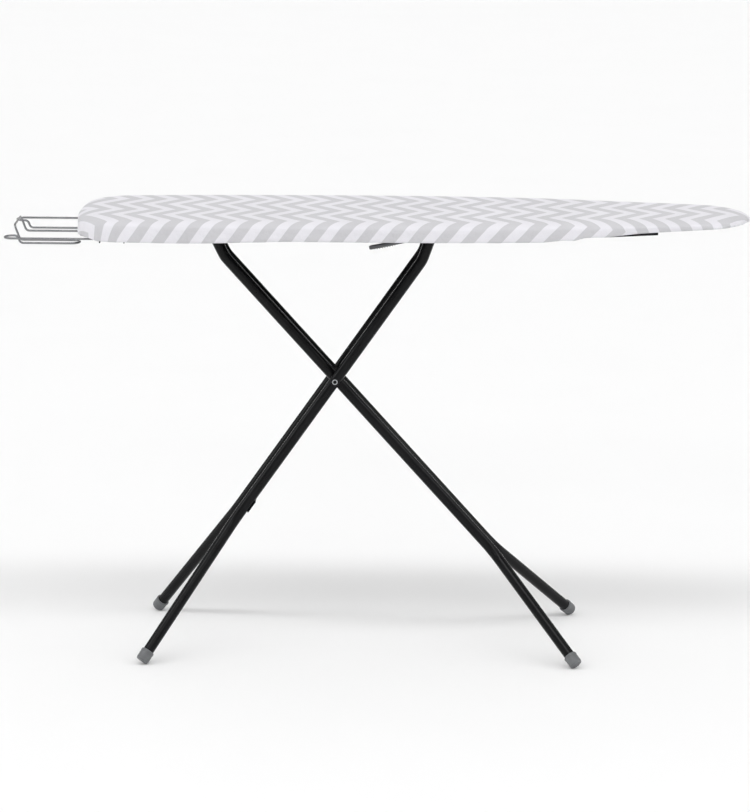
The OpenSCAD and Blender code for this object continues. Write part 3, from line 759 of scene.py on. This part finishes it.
def make_leg(kind, line):
    path = bent_path([line[0] + (line[1] - line[0]).normalized() * CAP_END, *line[1:]], [0, SPLAY_R, KNEE_R])
    tube = sweep(path, TUBE_R, GLOSS_BLACK, 48)
    cap = [(0, 0), (0.0112, 0), (0.012, 0.0035), (0.0119, 0.0165), (0.0124, 0.0172)]
    cap += [(0.0124, 0.0205), (0.0114, 0.022), (TUBE_R, 0.022), (TUBE_R, 0.0205)]
    cap = rounded(cap, 0.0016)
    cap += [(TUBE_R - 0.0004, 0.0205), (TUBE_R - 0.0004, CAP_END), (0, CAP_END)]
    stem, head = TUBE_R - 0.0014, TUBE_R - 0.0003
    plug = rounded([(0, -0.002), (stem, -0.002), (stem, 0), (head, 0), (head, 0.0008), (0, 0.0011)], 0.0004)
    body = kind + "_leg"
    sole = lathe(cap, line[0], line[1] - line[0], GREY_PLASTIC, 56)
    for side, group, shoe in (("near", tube, sole), ("far", mirrored(tube), mirrored(sole))):
        piece(joined(f"{kind}_leg_tube_{side}", [group]), body, f"{kind}_tube_{side}", slot="leg_paint")
        foot = joined(f"{kind}_leg_foot_{side}", [shoe], 40)
        piece(foot, body, f"{kind}_foot_cap_{side}", slot="cap_plastic")
    end = lathe(plug, line[3], line[3] - line[2], BLACK_PLASTIC, 40)
    piece(joined(f"{kind}_leg_plugs", both_sides(end)), body, f"{kind}_top_plugs", slot="black_plastic")


# ---------------------------------------------------------------- pins, nuts and rivets
Y_AXIS = Vector((0, 1, 0))


def pin(x, z, radius, from_y, to_y, material, chamfer=0.0005, sides=40):
    """A round bar across the board with chamfered ends."""
    length = to_y - from_y
    profile = [(0, 0), (radius - chamfer, 0), (radius, chamfer)]
    profile += [(radius, length - chamfer), (radius - chamfer, length), (0, length)]
    return lathe(profile, (x, from_y, z), Y_AXIS, material, sides)


def sleeve(x, z, outer, bore, from_y, to_y, material, chamfer=0.0004):
    length = to_y - from_y
    profile = [(bore, 0), (outer - chamfer, 0), (outer, chamfer)]
    profile += [(outer, length - chamfer), (outer - chamfer, length), (bore, length)]
    return lathe(profile, (x, from_y, z), Y_AXIS, material, 48)


def push_nut(at, axis, radius):
    """A domed push-on nut with a pressed rim."""
    profile = [(0, 0.0034), (radius * 0.7, 0.0032), (radius + 0.0008, 0.0022), (radius + 0.0013, 0.001)]
    profile += [(radius + 0.0028, 0.0009), (radius + 0.003, 0.0005), (radius + 0.0028, 0)]
    profile += [(radius + 0.0001, 0.0001), (radius + 0.0001, 0.0017), (0, 0.0017)]
    return lathe(rounded(profile, 0.0005), at, axis, ZINC, 40)


def make_pins():
    x, z = FOLD.x, FOLD.z
    near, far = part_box("pivot_axle")[0].y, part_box("pivot_axle")[1].y
    piece(joined("pivot_axle_bar", [pin(x, z, 0.004, near, far, ZINC)]), "board", "pivot_axle")
    nuts = [push_nut((x, near + 0.0018, z), -Y_AXIS, 0.004), push_nut((x, far - 0.0018, z), Y_AXIS, 0.004)]
    piece(joined("axle_caps", nuts), "board", "axle_push_nuts")

    a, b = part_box("slider_rod")
    x, z = (a.x + b.x) / 2, (a.z + b.z) / 2
    piece(joined("slider_bar", [pin(x, z, 0.004, a.y, b.y, ZINC)]), "outer_leg", "slider_rod")
    for side in ("near", "far"):
        c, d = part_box("slider_shoe_" + side)
        shoe = sleeve(x, z, (d.z - c.z) / 2, 0.00405, c.y, d.y, BLACK_PLASTIC, 0.0009)
        piece(joined("sliding_shoe_" + side, [shoe]), "outer_leg", "slider_shoe_" + side)

    a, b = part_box("centre_pivot_pin")
    bar = pin(CROSS.x, CROSS.z, 0.004, a.y, b.y, ZINC)
    piece(joined("crossing_pin", [bar]), "outer_leg", "centre_pivot_pin")
    surface = b.y - 0.001
    rolled = [(0.0033, 0.001), (0.0033, 0.0018), (0.0037, 0.0025), (0.0042, 0.0027)]
    rolled += [(0.0048, 0.0024), (0.0051, 0.0016), (0.0051, 0.001)]
    flange = [(0, 0), (0.0078, 0), (0.008, 0.0003), (0.0076, 0.0009)]
    flange += [(0.006, 0.0014), (0.0033, 0.0014), (0.003, 0.0011), (0, 0.0011)]
    heads, flanges = [], []
    for side in (-1, 1):
        at = (CROSS.x, side * surface, CROSS.z)
        heads.append(lathe(rolled, at, Y_AXIS * side, ZINC, 56))
        flanges.append(lathe(flange, at, Y_AXIS * side, GLOSS_BLACK, 56))
    piece(joined("rolled_rivet_heads", heads, 50), "outer_leg", "pivot_rivet_heads")
    piece(joined("rivet_flanges", flanges, 50), "outer_leg", slot="leg_paint")
    washers = []
    inner_face, outer_face = 0.03, 0.0345
    for side in (-1, 1):
        ends = sorted((side * (inner_face + 0.00015), side * (outer_face - 0.00015)))
        washers.append(sleeve(CROSS.x, CROSS.z, 0.009, 0.00405, *ends, BLACK_PLASTIC, 0.0006))
    piece(joined("spacing_washers", washers), "outer_leg", "pivot_washers")
    c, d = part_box("inner_pivot_spacer")
    spacer = sleeve(CROSS.x, CROSS.z, 0.007, 0.00405, c.y, d.y, ZINC)
    piece(joined("crossing_spacer", [spacer]), "inner_leg", "inner_pivot_spacer")

    x0, x1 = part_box("guide_rivets")[0].x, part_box("guide_rivets")[1].x
    y1, z1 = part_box("guide_rivets")[1].y - 0.004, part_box("guide_rivets")[1].z
    dome = [(0, 0), (0.004, 0), (0.0038, 0.0008), (0.003, 0.0015), (0.0018, 0.002), (0, 0.0021)]
    heads = [lathe(dome, ((x0 + x1) / 2, side * y1, z1), (0, 0, -1), ZINC, 32) for side in (-1, 1)]
    piece(joined("guide_rivet_heads", heads, 50), "board", "guide_rivets")


# ---------------------------------------------------------------- lever
LEVER_SLOPE = math.radians(11.5)
LEVER_L, GRIP_L = 0.079, 0.056
GRIP_HALF_W, GRIP_HALF_T = 0.006, 0.0035
RIB_PITCH = 0.0046


def make_grip():
    """The moulded grip: rounded ends, finger ribs under it and a hanging hole."""
    low_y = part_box("lever_grip")[0].y
    middle_y = low_y + GRIP_HALF_W
    back = Vector((-math.cos(LEVER_SLOPE), 0, -math.sin(LEVER_SLOPE)))
    up = Vector((-math.sin(LEVER_SLOPE), 0, math.cos(LEVER_SLOPE)))
    origin = Vector((SHAFT.x, middle_y, SHAFT.z)) - up * GRIP_HALF_T
    start, stations, sides = LEVER_L - GRIP_L, 150, 44
    points, faces = [], []
    for i in range(stations):
        x = start + GRIP_L * i / (stations - 1)
        ahead, behind = LEVER_L - x, x - start
        wide = GRIP_HALF_W * math.sqrt(max(0.0, 1 - max(0, 1 - ahead / GRIP_HALF_W) ** 2))
        wide *= math.sqrt(max(0.0, 1 - max(0, 1 - behind / 0.003) ** 2)) * 0.15 + 0.85
        wide = max(wide, 0.0004)
        thick = GRIP_HALF_T * min(1, 0.55 + 0.45 * smoothstep(behind, 0, 0.018))
        thick *= 1 - 0.3 * max(0, 1 - ahead / 0.003) ** 2
        rib = max(0.0, math.cos(2 * math.pi * (x - start - 0.005) / RIB_PITCH)) ** 1.6
        rib *= smoothstep(behind, 0.002, 0.006) * smoothstep(ahead, 0.008, 0.012)
        for k in range(sides):
            a = 2 * math.pi * k / sides
            c, s = math.cos(a), math.sin(a)
            u = math.copysign(abs(c) ** 0.5, c) * wide
            v = math.copysign(abs(s) ** 0.5, s) * thick
            if s < -0.4:
                v -= 0.0017 * rib * smoothstep(wide - abs(u), 0.0004, 0.0014)
            points.append(origin + back * x + Vector((0, u, 0)) + up * v)
    for i in range(stations - 1):
        for k in range(sides):
            m = (k + 1) % sides
            faces.append([i * sides + k, i * sides + m, (i + 1) * sides + m, (i + 1) * sides + k])
    faces.append(list(range(sides)))
    faces.append([(stations - 1) * sides + k for k in reversed(range(sides))])
    made = mesh_object("grip_moulding", points, faces, GRIP_PLASTIC, 40)
    hole = pin_along(origin + back * (LEVER_L - GRIP_HALF_W), up, 0.002, 0.02)
    hole = mesh_object("hole_cutter", *hole, GRIP_PLASTIC)
    cut = made.modifiers.new("hole", "BOOLEAN")
    cut.object, cut.operation, cut.solver = hole, "DIFFERENCE", "EXACT"
    apply_modifiers(made)
    bpy.data.objects.remove(hole)
    shade(made, 40)
    piece(made, "lever", "lever_grip")


def pin_along(at, axis, radius, length):
    profile = [(0, -length / 2), (radius, -length / 2), (radius, length / 2), (0, length / 2)]
    points, faces, _ = lathe(profile, at, axis, None, 28)
    return points, faces


def apply_modifiers(made):
    graph = bpy.context.evaluated_depsgraph_get()
    made.data = bpy.data.meshes.new_from_object(made.evaluated_get(graph))
    made.modifiers.clear()


def make_lever():
    a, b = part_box("lever_shaft")
    piece(joined("lever_shaft_bar", [pin(SHAFT.x, SHAFT.z, 0.003, a.y, b.y, ZINC)]), "lever", "lever_shaft")
    nuts = [push_nut((SHAFT.x, a.y + 0.0018, SHAFT.z), -Y_AXIS, 0.003)]
    nuts.append(push_nut((SHAFT.x, b.y - 0.0018, SHAFT.z), Y_AXIS, 0.003))
    piece(joined("shaft_caps", nuts), "lever", "shaft_push_nuts")
    coil_r, wire, turns = 0.0052, 0.0007, 7
    start_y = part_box("lever_spring")[1].y - wire
    pitch = (start_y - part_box("lever_spring")[0].y - wire) / (turns - 0.5)
    line = [Vector((SHAFT.x + 0.014, start_y, SHAFT.z + coil_r))]
    for i in range(int((turns - 0.5) * 28) + 1):
        a = math.pi / 2 + 2 * math.pi * i / 28
        x, z = SHAFT.x + coil_r * math.cos(a), SHAFT.z + coil_r * math.sin(a)
        line.append(Vector((x, start_y - pitch * i / 28, z)))
    line.append(Vector((SHAFT.x + 0.014, line[-1].y, SHAFT.z - coil_r)))
    spring = joined("torsion_spring", [sweep(line, wire, RAW_STEEL, 12)])
    piece(spring, "lever", "lever_spring", slot="zinc_steel")
    make_grip()


# ---------------------------------------------------------------- iron rest
def make_iron_rest():
    """One bright wire: two rods in their guides, two skids for the iron and a raised stop at the heel."""
    a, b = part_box("iron_rest_wire")
    out_x, in_x = a.x + WIRE_R, b.x - WIRE_R
    skid_z, stop_z = a.z + WIRE_R, b.z - WIRE_R
    rest_z = (skid_z + stop_z) / 2
    rod_y, skid_out_y, skid_in_y, skid_end = b.y - 0.012, 0.081, 0.048, HEEL_X + 0.006
    near = [
        (in_x, -b.y, rest_z), (in_x, -rod_y, rest_z), (out_x, -rod_y, rest_z), (out_x, -skid_out_y, rest_z),
        (out_x + 0.021, -skid_out_y, rest_z), (out_x + 0.026, -skid_out_y, skid_z),
        (skid_end, -skid_out_y, skid_z), (skid_end, -skid_in_y, skid_z),
        (out_x + 0.022, -skid_in_y, skid_z), (out_x + 0.012, -skid_in_y, stop_z),
    ]
    radii = [0, 0.006, 0.014, 0.014, 0.008, 0.008, 0.015, 0.015, 0.008, 0.008]
    far = [(x, -y, z) for x, y, z in reversed(near)]
    path = bent_path(near + far, radii + radii[::-1], math.radians(9))
    piece(joined("rest_wire", [sweep(path, WIRE_R, CHROME, 20)]), "iron_rest", "iron_rest_wire")


# ---------------------------------------------------------------- pressed and welded steel
def finish_pressed_steel():
    """CAD nodes whose shape is right keep it, with rolled edges and their slot's material."""
    shown = {s["node"]: s["material_slot"] for s in frame["record"]["subparts"]}
    for name, node in frame["nodes"].items():
        node.data.materials.clear()
        node.data.materials.append(SLOT_MATERIALS[shown[name]])
        if node.hide_render:
            continue
        weld = node.modifiers.new("weld", "WELD")
        weld.merge_threshold = 1e-5
        edge = node.modifiers.new("edges", "BEVEL")
        edge.width, edge.segments = 0.0004, 2
        edge.limit_method, edge.angle_limit = "ANGLE", math.radians(40)
        edge.harden_normals = True


def bead(a, b, radius, material):
    """A weld bead with the scallops of its passes."""
    a, b = Vector(a), Vector(b)
    count = max(8, int((b - a).length / 0.0011))
    path = [a.lerp(b, i / count) for i in range(count + 1)]

    def width(share):
        scallop = 0.8 + 0.2 * abs(math.sin(share * count * 0.9))
        return radius * scallop * min(1, 0.4 + 8 * min(share, 1 - share))

    return sweep(path, width, material, 12)


def make_welds():
    """Beads at the plate between the inner tubes, the strip under the outer ones, and the rails."""
    a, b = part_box("inner_spreader_plate")
    down = (INNER_LINE[1] - INNER_LINE[2]).normalized()
    middle = Vector(((a.x + b.x) / 2, 0, (a.z + b.z) / 2))
    square = down.cross(Y_AXIS)
    beads = []
    for y in (-0.0098, 0.0098):
        for face in (-1, 1):
            centre = middle + Vector((0, y, 0)) + square * face * 0.0012
            beads.append(bead(centre - down * 0.026, centre + down * 0.026, 0.0011, GLOSS_BLACK))
    piece(joined("inner_leg_welds", beads), "inner_leg", slot="leg_paint")

    a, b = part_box("outer_cross_strip")
    down = (OUTER_LINE[1] - OUTER_LINE[2]).normalized()
    beads = []
    middle = Vector(((a.x + b.x) / 2, 0, (a.z + b.z) / 2))
    for y in (-0.0445, 0.0445):
        for end in (-1, 1):
            centre = middle + Vector((0, y, 0)) + down * end * 0.0118
            beads.append(bead(centre - Y_AXIS * 0.0035, centre + Y_AXIS * 0.0035, 0.0012, GLOSS_BLACK))
    piece(joined("outer_leg_welds", beads), "outer_leg", slot="leg_paint")

    beads = []
    for name in ("pivot", "middle", "nose"):
        a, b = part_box("cross_member_" + name)
        for side in (-1, 1):
            for x in (a.x + 0.003, b.x - 0.003):
                for y in (0.0605, 0.0775):
                    ends = (x - 0.002, side * y, a.z), (x + 0.002, side * y, a.z)
                    beads.append(bead(*ends, 0.001, SATIN_BLACK))
    piece(joined("rail_welds", beads), "board", slot="frame_paint")


# ---------------------------------------------------------------- floor and light
def make_stage():
    s = Shader("pale_floor")
    material = s.finish(s.mix(s.noise(3, 2), (0.93, 0.93, 0.93), (0.95, 0.95, 0.95)), 0.85)
    size = 30
    corners = [(-size, -size, 0), (size, -size, 0), (size, size, 0), (-size, size, 0)]
    floor = mesh_object("floor", corners, [(0, 1, 2, 3)], material)


def area_light(name, place, target, size, power):
    data = bpy.data.lights.new(name, "AREA")
    data.shape, data.size, data.size_y = "RECTANGLE", size[0], size[1]
    data.energy = power
    light = bpy.data.objects.new(name, data)
    light.location = place
    light.rotation_euler = (Vector(target) - Vector(place)).to_track_quat("-Z", "Y").to_euler()
    bpy.context.scene.collection.objects.link(light)


def make_light():
    """A white dome, with a brighter band overhead along the board, like a row of softboxes."""
    world = bpy.data.worlds.new("studio")
    bpy.context.scene.world = world
    world.use_nodes = True
    nodes, links = world.node_tree.nodes, world.node_tree.links
    background = nodes["Background"]
    background.inputs["Color"].default_value = (1, 1, 1, 1)
    direction = nodes.new("ShaderNodeTexCoord")
    turned = nodes.new("ShaderNodeVectorRotate")
    turned.rotation_type = "X_AXIS"
    turned.inputs["Angle"].default_value = math.radians(-24)
    split = nodes.new("ShaderNodeSeparateXYZ")
    flatter = nodes.new("ShaderNodeMath")
    flatter.operation = "ABSOLUTE"
    band = nodes.new("ShaderNodeMapRange")
    for socket, value in zip(band.inputs[1:], (0.06, 0.12, 4.2, 0.0)):
        socket.default_value = value
    above = nodes.new("ShaderNodeMath")
    above.operation = "GREATER_THAN"
    above.inputs[1].default_value = 0.2
    lit = nodes.new("ShaderNodeMath")
    lit.operation = "MULTIPLY_ADD"
    lit.inputs[2].default_value = 0.62
    links.new(direction.outputs["Generated"], turned.inputs["Vector"])
    links.new(turned.outputs[0], split.inputs[0])
    links.new(split.outputs["Y"], flatter.inputs[0])
    links.new(flatter.outputs[0], band.inputs[0])
    links.new(split.outputs["Z"], above.inputs[0])
    links.new(band.outputs[0], lit.inputs[0])
    links.new(above.outputs[0], lit.inputs[1])
    links.new(lit.outputs[0], background.inputs["Strength"])
    area_light("front_strip", (-0.5, -3.2, 2.6), (0, 0, 0.6), (2.6, 0.16), 9)


FOLD = Vector([j["pos_m"] for j in frame["joints"] if j["name"] == "leg_fold"][0])
make_cover()
make_pad()
make_mesh_panel()
make_leg("inner", INNER_LINE)
make_leg("outer", OUTER_LINE)
make_pins()
make_lever()
make_iron_rest()
finish_pressed_steel()
make_welds()
make_stage()
make_light()
bpy.context.scene.view_settings.view_transform = "Standard"
